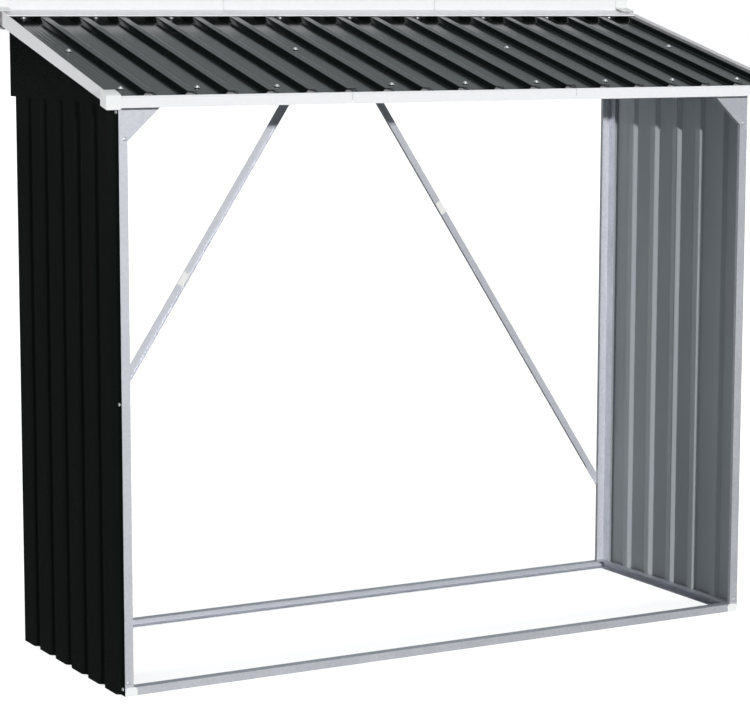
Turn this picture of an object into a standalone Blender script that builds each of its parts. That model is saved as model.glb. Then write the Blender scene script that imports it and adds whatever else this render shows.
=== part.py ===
"""Open-fronted firewood log store: folded steel frame, ribbed side walls and a mono-pitch ribbed roof.

Metres, +Z up. The front (open, low side) faces -Y. The origin is on the ground below the middle
of the overall box. Each piece is its own closed solid, with a small gap to its neighbours.
"""

import math

import bmesh
import bpy
from mathutils import Matrix, Vector

# Overall plan, measured over the corner posts
WIDTH = 1.800
DEPTH = 0.640
FRONT_OVERHANG = 0.063
REAR_OVERHANG = 0.013
HALF = WIDTH / 2
FRONT_Y = -(DEPTH + REAR_OVERHANG - FRONT_OVERHANG) / 2
REAR_Y = FRONT_Y + DEPTH

# Sheet metal
FRAME_T = 0.0010
SHEET_T = 0.0006
GAP = 0.0003

# Frame sections
POST_FACE = 0.022
REAR_POST_FACE = 0.029
POST_SIDE = 0.030
POST_LIP = 0.010
RAIL_FLANGE = 0.025
BASE_RAIL_H = 0.020
FRONT_TOP_Z = 1.4285
FRONT_TOP_RAIL_H = 0.0295
REAR_TOP_Z = 1.5885
REAR_TOP_RAIL_H = 0.040
SIDE_RAIL_H = 0.020
SIDE_RAIL_TOP_Z = 1.398
PURLIN_H = 0.025

# Roof plane: the height of the sheet's flat at the front posts, and its rise per metre of depth
ROOF_Z = 1.432
ROOF_RISE = 0.261
ROOF_ANGLE = math.atan(ROOF_RISE)

# Rib profile shared by the roof and the walls
RIB_WEB = 0.008
RIB_CREST = 0.021
RIB_H = 0.0115
RIB_PITCH = 0.1045
LAP_LIFT = 0.0009
LAP_SHIFT = 0.0011
LAP_TAIL = 0.0065
LAP_START = 0.010
ROOF_EDGE = 0.9425
ROOF_FIRST_RIB = -0.863
ROOF_RIBS = 18
RIBS_PER_SHEET = 6
ROOF_FRONT = 0.0533
ROOF_REAR = 0.6440
WALL_FIRST_WEB = 0.018
WALL_FLAT = RIB_PITCH - 2 * RIB_WEB - RIB_CREST
WALL_FLATS = 6
WALL_LENGTH = 0.645
WALL_BOTTOM = 0.002
WALL_TOP = 1.400
GABLE_X = 0.9140
GABLE_BOTTOM = 1.3985

# White edge trims
FASCIA_Y = 0.0607
FASCIA_BOTTOM = 1.3937
FASCIA_BEND = 1.4156
FASCIA_TOP = 1.4213
FASCIA_END = 0.924
TRIM_JOINT = 0.320
TRIM_JOINT_GAP = 0.0008
RAKE_X = 0.947
RAKE_RISE = 0.0184
RAKE_START = -0.054
RAKE_END = 0.6435
RAKE_TAPER = 0.0115
REAR_TRIM_FRONT = 0.585
REAR_TRIM_UPSTAND = 0.645
REAR_TRIM_TOP = 1.6515
REAR_TRIM_BACK = 0.6508
REAR_TRIM_DROP = 1.585
REAR_TRIM_END = 0.943

# Plastic corner caps
CAP_X = 0.9565
CAP_WALL = 0.0018
CAP_DEPTH = 0.036
CAP_WIDTH = 0.037
REAR_CAP_START = 0.6078
REAR_CAP_WIDTH = 0.038
CAP_BOTTOM = 1.3895
CAP_FRONT_TOP_LEFT = 1.4225
CAP_FRONT_TOP_RIGHT = 1.4295
CAP_TOP_BACK = 0.0565
CAP_OVER_RAKE = 0.0024
CAP_CHAMFER = 0.005
REAR_CAP_TOP = 1.6536
REAR_CAP_FACE = 0.6427

# Corner gussets and rear braces
GUSSET_TIP_Z = 1.302
GUSSET_TIP = 0.0083
GUSSET_WIDTH = 0.1444
GUSSET_FOLD = 0.010
JOIN_INSET = 0.0002
BRACE_LOW = (0.8855, 0.240)
BRACE_HIGH = (0.0120, 1.5678)
BRACE_WIDTH = 0.022
BRACE_FLANGE = 0.008
BRACE_FLANGE_START = 0.075
BRACE_FLANGE_STOP = 0.090
BRACE_BOLT_INSET = 0.014
LABEL_SIZE = (0.038, 0.019)
LABEL_T = 0.0003

# Plastic covers over the feet of the posts
FOOT_COVER_W = 0.031
FOOT_COVER_H = 0.022
FOOT_COVER_T = 0.003
FOOT_COVER_ROUND = 0.005

# Screws
SHANK_R = 0.0020
SHANK_LENGTH = 0.0085
HOLE_R = 0.0023
DRILL_LENGTH = 0.008
HEAD_R = 0.0046
HEAD_H = 0.0026
SCREW_SEGMENTS = 16
GUSSET_SCREWS = ((0.886, 1.320), (0.800, 1.413))
FOOT_SCREW = (0.892, 0.033)
WALL_SCREW_DEPTH = 0.011
WALL_SCREW_HEIGHTS = (0.0163, 0.7004, 1.3816)

CAST = {
    "galvanised": ((0.62, 0.65, 0.69), 0.42, 0.85),
    "anthracite": ((0.022, 0.026, 0.027), 0.34, 0.0),
    "white_trim": ((0.86, 0.87, 0.88), 0.38, 0.0),
    "white_plastic": ((0.84, 0.85, 0.83), 0.45, 0.0),
    "zinc": ((0.70, 0.71, 0.72), 0.30, 0.9),
    "label_paper": ((0.88, 0.88, 0.86), 0.60, 0.0),
}


def clear_scene():
    for obj in list(bpy.data.objects):
        bpy.data.objects.remove(obj, do_unlink=True)


def principled(name):
    """The cast's Principled material of this name, made once."""
    found = bpy.data.materials.get(name)
    if found:
        return found
    colour, roughness, metallic = CAST[name]
    made = bpy.data.materials.new(name)
    made.use_nodes = True
    shader = made.node_tree.nodes["Principled BSDF"]
    shader.inputs["Base Color"].default_value = (*colour, 1.0)
    shader.inputs["Roughness"].default_value = roughness
    shader.inputs["Metallic"].default_value = metallic
    made.diffuse_color = (*colour, 1.0)
    return made


def world_y(depth):
    """World Y of a point this far behind the front posts' faces."""
    return FRONT_Y + depth


def roof_height(depth, above=0.0):
    """Height of the roof sheet's flats at this depth, plus a distance square to the slope."""
    return ROOF_Z + ROOF_RISE * depth + above / math.cos(ROOF_ANGLE)


def strip_outline(points, thickness):
    """Closed outline of a folded strip: the polyline and its mitred offset to the right."""
    path = [Vector(point) for point in points]
    headings = [(b - a).normalized() for a, b in zip(path, path[1:])]
    sides = [Vector((heading.y, -heading.x)) for heading in headings]
    offset = []
    for i, point in enumerate(path):
        before = sides[max(i - 1, 0)]
        after = sides[min(i, len(sides) - 1)]
        mitre = (before + after).normalized()
        offset.append(point + mitre * thickness / mitre.dot(after))
    return [tuple(point) for point in path] + [tuple(point) for point in reversed(offset)]


def prism_mesh(name, outline, near, far, place):
    """Mesh of an outline carried from near to far; place(a, b, along) gives each point."""
    shape = bmesh.new()
    rings = [[shape.verts.new(place(a, b, at)) for a, b in outline] for at in (near, far)]
    shape.faces.new(rings[0])
    shape.faces.new(rings[1])
    for i in range(len(outline)):
        j = (i + 1) % len(outline)
        shape.faces.new((rings[0][i], rings[0][j], rings[1][j], rings[1][i]))
    bmesh.ops.recalc_face_normals(shape, faces=shape.faces)
    mesh = bpy.data.meshes.new(name)
    shape.to_mesh(mesh)
    shape.free()
    return mesh


def along_x(a, b, at):
    """Outline in Y, Z carried along X."""
    return (at, a, b)


def along_y(a, b, at):
    """Outline in X, Z carried along Y."""
    return (a, at, b)


def along_z(a, b, at):
    """Outline in X, Y carried along Z."""
    return (a, b, at)


def add_object(name, mesh, look, location=(0, 0, 0), parent=None):
    made = bpy.data.objects.new(name, mesh)
    bpy.context.scene.collection.objects.link(made)
    made.location = location
    made.parent = parent
    if look:
        mesh.materials.append(principled(look))
    return made


def helper(name, mesh, location=(0, 0, 0)):
    """A cutting or joining body that isn't a piece of its own."""
    made = add_object(name, mesh, None, location)
    made.hide_render = True
    made.display_type = "WIRE"
    return made


def boolean(target, other, operation):
    step = target.modifiers.new(other.name, "BOOLEAN")
    step.operation = operation
    step.solver = "EXACT"
    step.object = other


def cylinder_mesh(name, centres, radius, length, turn):
    """Mesh of one or more cylinders centred on the given points, each turned by a matrix."""
    shape = bmesh.new()
    for centre in centres:
        bmesh.ops.create_cone(
            shape,
            cap_ends=True,
            segments=SCREW_SEGMENTS,
            radius1=radius,
            radius2=radius,
            depth=length,
            matrix=Matrix.Translation(centre) @ turn,
        )
    mesh = bpy.data.meshes.new(name)
    shape.to_mesh(mesh)
    shape.free()
    return mesh


def drill(target, tag, centres, axis):
    """Cuts screw holes along X or Y through a target, at points in the world."""
    turn = Matrix.Rotation(math.pi / 2, 4, "Y" if axis == "X" else "X")
    name = f"{target.name}_{tag}_drill"
    cutter = helper(name, cylinder_mesh(name, centres, HOLE_R, DRILL_LENGTH, turn))
    boolean(target, cutter, "DIFFERENCE")


def roof_frame():
    """Empty on the roof plane, above the front posts' faces: local Y runs up the slope."""
    frame = bpy.data.objects.new("roof_plane", None)
    bpy.context.scene.collection.objects.link(frame)
    frame.location = (0, FRONT_Y, ROOF_Z)
    frame.rotation_euler = (ROOF_ANGLE, 0, 0)
    return frame


def channel(height, depth):
    """Outline of a channel section: web at 0, flanges running to depth, from 0 up to height."""
    return strip_outline([(depth, 0), (0, 0), (0, height), (depth, height)], FRAME_T)


def post(name, side, face_width, at_rear):
    """A corner post: side leg on the wall, face across the opening, and a short lip."""
    section = [(0, POST_SIDE), (0, 0), (-face_width, 0), (-face_width, POST_LIP)]
    outline = strip_outline(section, FRAME_T)
    back = -1 if at_rear else 1
    placed = [(side * a, back * b) for a, b in outline]
    top = REAR_TOP_Z if at_rear else FRONT_TOP_Z
    corner = (side * HALF, REAR_Y if at_rear else FRONT_Y, 0)
    made = add_object(name, prism_mesh(name, placed, 0, top, along_z), "galvanised", corner)
    rail_height = REAR_TOP_RAIL_H if at_rear else FRONT_TOP_RAIL_H
    notch_lip(made, side * (HALF - face_width), back, top - rail_height)
    return made


def notch_lip(made, lip_x, back, rail_bottom):
    """Clears the post's lip where the rails pass through it, at the foot and at the top."""
    inner = made.location.y + back * (FRAME_T + GAP / 2)
    outer = made.location.y + back * (POST_LIP + FRAME_T)
    low_y, high_y = sorted((inner, outer))
    half = 2 * FRAME_T
    box = [
        (lip_x - half, low_y),
        (lip_x + half, low_y),
        (lip_x + half, high_y),
        (lip_x - half, high_y),
    ]
    spans = {
        "foot": (-FRAME_T, BASE_RAIL_H + GAP),
        "head": (rail_bottom - GAP, REAR_TOP_Z + FRAME_T),
    }
    for end, (low, high) in spans.items():
        name = f"{made.name}_{end}_notch"
        boolean(made, helper(name, prism_mesh(name, box, low, high, along_z)), "DIFFERENCE")


def cross_rail(name, bottom, height, at_rear):
    """A channel across the front or the rear, behind the posts' faces and open inwards."""
    inset = FRAME_T + GAP
    outline = channel(height, RAIL_FLANGE)
    if at_rear:
        outline = [(-a, b) for a, b in outline]
        inset = -inset
    reach = HALF - FRAME_T - GAP
    mesh = prism_mesh(name, outline, -reach, reach, along_x)
    line = (REAR_Y if at_rear else FRONT_Y) + inset
    return add_object(name, mesh, "galvanised", (0, line, bottom))


def side_rail(name, side, bottom, height):
    """A channel along one side, between the posts' side legs and flush with them."""
    outline = [(-side * a, b) for a, b in channel(height, RAIL_FLANGE)]
    near = POST_SIDE + GAP
    mesh = prism_mesh(name, outline, near, DEPTH - near, along_y)
    return add_object(name, mesh, "galvanised", (side * HALF, FRONT_Y, bottom))


def sloped_rail(name, side, frame):
    """A channel under the roof's edge, up the slope from front post to rear post."""
    outline = [(-side * a, b) for a, b in channel(PURLIN_H, RAIL_FLANGE)]
    near = (POST_SIDE + 2 * GAP) / math.cos(ROOF_ANGLE)
    lean = PURLIN_H * math.sin(ROOF_ANGLE)
    far = (DEPTH - POST_SIDE - 2 * GAP - lean) / math.cos(ROOF_ANGLE)
    mesh = prism_mesh(name, outline, near, far, along_y)
    drop = SHEET_T + GAP + PURLIN_H
    return add_object(name, mesh, "galvanised", (side * HALF, 0, -drop), frame)


def purlin(frame):
    """The channel across the middle of the roof."""
    name = "roof_purlin"
    reach = HALF - RAIL_FLANGE - GAP
    mesh = prism_mesh(name, channel(PURLIN_H, RAIL_FLANGE), -reach, reach, along_x)
    middle = DEPTH / 2 / math.cos(ROOF_ANGLE) - RAIL_FLANGE / 2
    drop = SHEET_T + GAP + PURLIN_H
    return add_object(name, mesh, "galvanised", (0, middle, -drop), frame)


def ribbed_profile(start, end, ribs, height, first_laps, last_laps):
    """Outer line of a ribbed sheet. A sheet slips under its neighbour at a first rib that laps,
    and closes over the next neighbour at a last rib that laps."""
    sign = math.copysign(1, height)
    steepness = abs(height) / RIB_WEB
    points = [] if first_laps else [(start, 0)]
    for i, left in enumerate(ribs):
        crest_end = left + RIB_WEB + RIB_CREST
        if first_laps and i == 0:
            points += [(left + LAP_START, height), (crest_end, height), (crest_end + RIB_WEB, 0)]
        elif last_laps and i == len(ribs) - 1:
            level = height + LAP_LIFT
            crest_end += sign * LAP_SHIFT
            tail = (crest_end + LAP_TAIL, level - sign * steepness * LAP_TAIL)
            points += [(left, 0), (left + RIB_WEB, level), (crest_end, level), tail]
            return points
        else:
            points += [(left, 0), (left + RIB_WEB, height), (crest_end, height)]
            if crest_end < end:
                points.append((crest_end + RIB_WEB, 0))
    if points[-1][0] < end - GAP:
        points.append((end, 0))
    return points


def roof_sheets(frame):
    """Three ribbed sheets, each lapped over the next one's first rib."""
    lefts = [ROOF_FIRST_RIB + i * RIB_PITCH for i in range(ROOF_RIBS)]
    sheets = ROOF_RIBS // RIBS_PER_SHEET
    for k in range(sheets):
        first = max(k * RIBS_PER_SHEET - 1, 0)
        last = (k + 1) * RIBS_PER_SHEET
        ribs = lefts[first:last]
        line = ribbed_profile(-ROOF_EDGE, ROOF_EDGE, ribs, RIB_H, k > 0, k < sheets - 1)
        name = f"roof_sheet_{k + 1}"
        mesh = prism_mesh(name, strip_outline(line, SHEET_T), 0, roof_length(), along_y)
        near = -ROOF_FRONT / math.cos(ROOF_ANGLE)
        add_object(name, mesh, "anthracite", (0, near, 0), frame)


def roof_length():
    return (ROOF_FRONT + ROOF_REAR) / math.cos(ROOF_ANGLE)


def wall_lines():
    """Outer lines of a side wall's front and rear sheets: depth, and distance inwards."""
    grooves = [
        WALL_FIRST_WEB + RIB_WEB + WALL_FLAT + i * RIB_PITCH for i in range(WALL_FLATS - 1)
    ]
    half = WALL_FLATS // 2
    front = ribbed_profile(WALL_FIRST_WEB + RIB_WEB, 0, grooves[:half], -RIB_H, False, True)
    front = [(0, -RIB_H), (WALL_FIRST_WEB, -RIB_H)] + front
    last_web = grooves[-1] + RIB_PITCH
    rear = ribbed_profile(0, last_web, grooves[half - 1 :], -RIB_H, True, False)
    rear += [(last_web + RIB_WEB, -RIB_H), (WALL_LENGTH, -RIB_H)]
    return {"front": front, "rear": rear}


def wall_sheets(side, side_name):
    """Two ribbed sheets down one side, their narrow folds against the posts."""
    face = HALF + GAP + SHEET_T + RIB_H
    for which, line in wall_lines().items():
        placed = [(side * (face + inwards), depth) for depth, inwards in line]
        outline = strip_outline(placed, -side * SHEET_T)
        name = f"wall_{side_name}_{which}"
        mesh = prism_mesh(name, outline, 0, WALL_TOP - WALL_BOTTOM, along_z)
        made = add_object(name, mesh, "anthracite", (0, FRONT_Y, WALL_BOTTOM))
        if which == "front":
            drill(made, "edge", wall_screw_points(side), "X")


def gable(side, side_name):
    """The flat panel between a wall's top and the roof."""
    above = -2 * (SHEET_T + GAP)
    outline = [
        (world_y(0), GABLE_BOTTOM),
        (world_y(WALL_LENGTH), GABLE_BOTTOM),
        (world_y(WALL_LENGTH), roof_height(WALL_LENGTH, above)),
        (world_y(0), roof_height(0, above)),
    ]
    name = f"gable_panel_{side_name}"
    mesh = prism_mesh(name, outline, 0, side * SHEET_T, along_x)
    add_object(name, mesh, "anthracite", (side * GABLE_X, 0, 0))


def fascia_line():
    """Folded line of the front trim: flange under the sheet, raised lip, face and hem."""
    under = -(SHEET_T + GAP)
    return [
        (0.018, roof_height(0.018, under)),
        (-0.054, roof_height(-0.054, under)),
        (-0.057, FASCIA_TOP),
        (-FASCIA_Y, FASCIA_BEND),
        (-FASCIA_Y, FASCIA_BOTTOM),
        (-0.054, FASCIA_BOTTOM),
    ]


def rear_trim_line():
    """Folded line of the rear trim: rolled hem, flange on the crests, upstand and back."""
    def over(depth, lift=0.0):
        return roof_height(depth, RIB_H + LAP_LIFT + GAP + SHEET_T + lift)

    hem = 3 * SHEET_T
    return [
        (REAR_TRIM_FRONT + 0.008, over(REAR_TRIM_FRONT + 0.008, hem)),
        (REAR_TRIM_FRONT, over(REAR_TRIM_FRONT, hem)),
        (REAR_TRIM_FRONT, over(REAR_TRIM_FRONT)),
        (REAR_TRIM_UPSTAND, over(REAR_TRIM_UPSTAND)),
        (REAR_TRIM_UPSTAND, REAR_TRIM_TOP),
        (REAR_TRIM_BACK, REAR_TRIM_TOP),
        (REAR_TRIM_BACK, REAR_TRIM_DROP),
    ]


def cross_trims(stem, line, thickness, end):
    """A trim across the roof in three lengths: left, middle and right."""
    joints = [-end, -TRIM_JOINT, TRIM_JOINT, end]
    for place, low, high in zip(("left", "middle", "right"), joints, joints[1:]):
        name = f"{stem}_{place}"
        outline = strip_outline(line, thickness)
        near = low + TRIM_JOINT_GAP / 2
        mesh = prism_mesh(name, outline, near, high - TRIM_JOINT_GAP / 2, along_x)
        add_object(name, mesh, "white_trim", (0, FRONT_Y, 0))


def rake_trim(side, side_name, frame):
    """Folded side trim: flange under the sheet, doubled upstand, face and hem."""
    leaf = RAKE_X - 0.003
    line = [
        (0.925, -(SHEET_T + GAP)),
        (leaf, -(SHEET_T + GAP)),
        (leaf, RAKE_RISE),
        (RAKE_X, RAKE_RISE),
        (RAKE_X, -RAKE_RISE),
        (RAKE_X - 0.006, -RAKE_RISE),
    ]
    outline = [(side * a, b) for a, b in strip_outline(line, SHEET_T)]
    name = f"rake_trim_{side_name}"
    lean = RAKE_RISE * math.sin(ROOF_ANGLE)
    near = (RAKE_START + lean) / math.cos(ROOF_ANGLE)
    far = (RAKE_END - lean) / math.cos(ROOF_ANGLE)
    mesh = prism_mesh(name, outline, near, far, along_y)
    for vert in mesh.vertices:
        if vert.co.z > RAKE_RISE / 2:
            vert.co.z -= rake_taper(side, vert.co.y * math.cos(ROOF_ANGLE))
    add_object(name, mesh, "white_trim", (0, 0, 0), frame)


def cap_floor(depth):
    return CAP_BOTTOM + ROOF_RISE * (depth + FRONT_OVERHANG)


def rake_taper(side, depth):
    """How much lower the left rake trim's top edge is at this depth. The right one, beside a
    rib, keeps its full height."""
    if side > 0:
        return 0
    return RAKE_TAPER * (RAKE_END - depth) / (RAKE_END - RAKE_START)


def rake_top(side, depth, above=0.0):
    return roof_height(depth, RAKE_RISE - rake_taper(side, depth)) + above


def front_cap_outline(side, inset, tail):
    """Side view of a front cap, shrunk by inset; tail carries it past the rear face."""
    front = -FRONT_OVERHANG + inset
    back = -FRONT_OVERHANG + CAP_DEPTH + tail
    nose = -CAP_TOP_BACK + inset
    over = CAP_OVER_RAKE - inset
    front_top = CAP_FRONT_TOP_LEFT if side < 0 else CAP_FRONT_TOP_RIGHT
    return [
        (world_y(front), cap_floor(front) + inset),
        (world_y(back), cap_floor(back) + inset),
        (world_y(back), rake_top(side, back, over)),
        (world_y(nose), rake_top(side, nose, over)),
        (world_y(front), front_top),
    ]


def rear_cap_outline(side, inset, tail):
    """Side view of a rear cap: low over the rake trim, high over the rear trim's end."""
    front = REAR_CAP_START - tail
    back = DEPTH + REAR_OVERHANG - inset
    face = REAR_CAP_FACE + inset
    over = CAP_OVER_RAKE - inset
    return [
        (world_y(front), cap_floor(front) + inset),
        (world_y(back), cap_floor(back) + inset),
        (world_y(back), REAR_CAP_TOP - inset),
        (world_y(face), REAR_CAP_TOP - inset),
        (world_y(face), rake_top(side, face, over)),
        (world_y(front), rake_top(side, front, over)),
    ]


def corner_cap(name, outline_of, width, side):
    """A hollow plastic cap, open inwards and along the rake, over the trims' ends."""
    outer = outline_of(side, 0, 0)
    inner = outline_of(side, CAP_WALL, 2 * CAP_WALL)
    near, far = side * (CAP_X - width), side * CAP_X
    made = add_object(name, prism_mesh(name, outer, near, far, along_x), "white_plastic")
    hollow = prism_mesh(
        f"{name}_hollow", inner, near - side * CAP_WALL, far - side * CAP_WALL, along_x
    )
    boolean(made, helper(f"{name}_hollow", hollow), "DIFFERENCE")
    chamfer_floor(made, side, width, cap_floor(depth_of(outer[0][0])), outer)
    return made


def depth_of(y):
    return y - FRONT_Y


def chamfer_floor(made, side, width, floor, outer):
    """Cuts the lower outside corner of a cap at an angle, all along its depth."""
    reach = side * (CAP_X + CAP_CHAMFER)
    inside = side * (CAP_X - CAP_CHAMFER * 0.3)
    low = floor - CAP_CHAMFER
    wedge = [(inside, low), (reach, low), (reach, floor + CAP_CHAMFER * 1.3)]
    start, end = outer[0][0] - CAP_CHAMFER, outer[1][0] + CAP_CHAMFER
    climb = ROOF_RISE
    name = f"{made.name}_wedge"

    def sloped(a, b, at):
        return (a, at, b + climb * (at - outer[0][0]))

    boolean(made, helper(name, prism_mesh(name, wedge, start, end, sloped)), "DIFFERENCE")


def foot_cover(name, side, at_rear):
    """A plastic cover on the corner where a post meets the base rail, its top corners cut off."""
    outer, inner = HALF - GAP, HALF - FOOT_COVER_W
    shoulder = FOOT_COVER_H - FOOT_COVER_ROUND
    outline = [
        (outer, 0),
        (outer, shoulder),
        (outer - FOOT_COVER_ROUND, FOOT_COVER_H),
        (inner + FOOT_COVER_ROUND, FOOT_COVER_H),
        (inner, shoulder),
        (inner, 0),
    ]
    placed = [(side * a, b) for a, b in outline]
    out = 1 if at_rear else -1
    line = REAR_Y if at_rear else FRONT_Y
    mesh = prism_mesh(name, placed, out * GAP, out * (GAP + FOOT_COVER_T), along_y)
    add_object(name, mesh, "white_plastic", (0, line, 0))


def gusset_point(side, inwards, z):
    return (side * (HALF - inwards), z)


def gusset(side, side_name):
    """Folded corner plate across the front post and the front top rail."""
    top = FRONT_TOP_Z
    edge = 2 * GAP
    plate = [
        gusset_point(side, edge, top),
        gusset_point(side, GUSSET_WIDTH, top),
        gusset_point(side, GUSSET_TIP, GUSSET_TIP_Z),
        gusset_point(side, edge, GUSSET_TIP_Z),
    ]
    name = f"gusset_{side_name}"
    mesh = prism_mesh(name, plate, -(FRAME_T + GAP), -GAP, along_y)
    made = add_object(name, mesh, "galvanised", (0, FRONT_Y, 0))
    slope = (top - GUSSET_TIP_Z) / (GUSSET_WIDTH - GUSSET_TIP)
    low = POST_FACE + 2 * FRAME_T
    high = GUSSET_WIDTH - (FRONT_TOP_RAIL_H + 2 * FRAME_T) / slope
    inside = Vector((-slope, 1)).normalized()
    ends = [Vector((at, GUSSET_TIP_Z + slope * (at - GUSSET_TIP))) for at in (low, high)]
    fold = [end + inside * JOIN_INSET for end in ends]
    fold += [point + inside * FRAME_T for point in reversed(fold)]
    shape = [gusset_point(side, a, b) for a, b in fold]
    lip = prism_mesh(f"{name}_fold", shape, -(FRAME_T + GAP) * 0.9, GUSSET_FOLD, along_y)
    boolean(made, helper(f"{name}_fold", lip, (0, FRONT_Y, 0)), "UNION")
    drill(made, "plate", gusset_screw_points(side), "Y")


def brace_frame():
    """The left brace's lower end, heading and square-off in X, Z, mirrored for the right."""
    low, high = Vector(BRACE_LOW), Vector(BRACE_HIGH)
    heading = (high - low).normalized()
    below = Vector((heading.y, -heading.x))
    if below.y > 0:
        below = -below
    return low, heading, below, (high - low).length


def brace_quad(side, near, far, inner, outer):
    """Rectangle along the brace, between two distances along it and two below its middle."""
    low, heading, below, _ = brace_frame()
    corners = ((near, inner), (far, inner), (far, outer), (near, outer))
    points = [low + heading * u + below * v for u, v in corners]
    return [(side * point.x, point.y) for point in points]


def brace(side, side_name):
    """Angle brace up the rear: a face behind the frame, and a flange forward below it."""
    length = brace_frame()[3]
    half = BRACE_WIDTH / 2
    name = f"brace_{side_name}"
    plate = brace_quad(side, 0, length, -half, half)
    face = DEPTH + GAP
    mesh = prism_mesh(name, plate, face, face + FRAME_T, along_y)
    made = add_object(name, mesh, "galvanised", (0, FRONT_Y, 0))
    edge = half - JOIN_INSET
    strip = brace_quad(side, BRACE_FLANGE_START, length - BRACE_FLANGE_STOP, edge - FRAME_T, edge)
    flange = prism_mesh(
        f"{name}_flange", strip, face - BRACE_FLANGE, face + FRAME_T * 0.9, along_y
    )
    boolean(made, helper(f"{name}_flange", flange, (0, FRONT_Y, 0)), "UNION")
    drill(made, "plate", brace_bolt_points(side), "Y")


def brace_label(name, side, distance):
    """A blank paper label on the front of a brace."""
    long, wide = LABEL_SIZE
    lift = -0.0005
    quad = brace_quad(side, distance - long / 2, distance + long / 2, lift - wide / 2, lift + wide / 2)
    mesh = prism_mesh(name, quad, -LABEL_T, 0, along_y)
    add_object(name, mesh, "label_paper", (0, REAR_Y, 0))


def brace_bolt_points(side):
    low, heading, _, length = brace_frame()
    spots = [low + heading * u for u in (BRACE_BOLT_INSET, length - BRACE_BOLT_INSET)]
    return [Vector((side * spot.x, REAR_Y, spot.y)) for spot in spots]


def gusset_screw_points(side):
    return [Vector((side * x, FRONT_Y, z)) for x, z in GUSSET_SCREWS]


def wall_screw_points(side):
    """Down the front edge of a wall, on the post's outer face."""
    return [Vector((side * HALF, world_y(WALL_SCREW_DEPTH), z)) for z in WALL_SCREW_HEIGHTS]


def foot_screw_point(side):
    return Vector((side * FOOT_SCREW[0], FRONT_Y, FOOT_SCREW[1]))


def screw_mesh():
    """Domed head on a short shank, along Z, with the head's underside at the origin."""
    profile = [(0, -SHANK_LENGTH), (SHANK_R * 0.4, -SHANK_LENGTH), (SHANK_R, -SHANK_LENGTH * 0.8)]
    profile += [(SHANK_R, 0), (HEAD_R, 0), (HEAD_R, HEAD_H * 0.35)]
    profile += [(HEAD_R * 0.82, HEAD_H * 0.80), (HEAD_R * 0.42, HEAD_H), (0, HEAD_H)]
    shape = bmesh.new()
    verts = [shape.verts.new((r, 0, z)) for r, z in profile]
    edges = [shape.edges.new(pair) for pair in zip(verts, verts[1:])]
    bmesh.ops.spin(
        shape,
        geom=verts + edges,
        cent=(0, 0, 0),
        axis=(0, 0, 1),
        angle=2 * math.pi,
        steps=SCREW_SEGMENTS,
        use_duplicate=False,
    )
    bmesh.ops.remove_doubles(shape, verts=shape.verts, dist=1e-5)
    bmesh.ops.recalc_face_normals(shape, faces=shape.faces)
    mesh = bpy.data.meshes.new("screw")
    shape.to_mesh(mesh)
    shape.free()
    mesh.shade_smooth()
    mesh.set_sharp_from_angle(angle=math.radians(35))
    mesh.materials.append(principled("zinc"))
    return mesh


def place_screw(name, mesh, seat, outwards):
    """A screw with its head seated at a point, facing outwards."""
    made = bpy.data.objects.new(name, mesh)
    bpy.context.scene.collection.objects.link(made)
    made.location = seat
    made.rotation_euler = Vector(outwards).to_track_quat("Z", "Y").to_euler()


def add_screws(side, side_name, mesh):
    forward, back, out = (0, -1, 0), (0, 1, 0), (side, 0, 0)
    seat = FRAME_T + 2 * GAP
    gusset_seat = gusset_screw_points(side)[0] + Vector((0, -seat, 0))
    place_screw(f"gusset_screw_{side_name}", mesh, gusset_seat, forward)
    for place, point in zip(("foot", "head"), brace_bolt_points(side)):
        place_screw(f"brace_bolt_{side_name}_{place}", mesh, point + Vector((0, seat, 0)), back)
    lift = Vector((side * (SHEET_T + 2 * GAP), 0, 0))
    for place, point in zip(("low", "mid", "high"), wall_screw_points(side)):
        place_screw(f"wall_screw_{side_name}_{place}", mesh, point + lift, out)
    foot = foot_screw_point(side) + Vector((0, -GAP, 0))
    place_screw(f"foot_screw_{side_name}", mesh, foot, forward)


def drill_posts(side, front, rear):
    """Screw holes through the posts' faces and through the front post's side leg."""
    drill(front, "face", [gusset_screw_points(side)[0], foot_screw_point(side)], "Y")
    drill(front, "leg", wall_screw_points(side), "X")
    drill(rear, "face", [brace_bolt_points(side)[0]], "Y")


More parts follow.
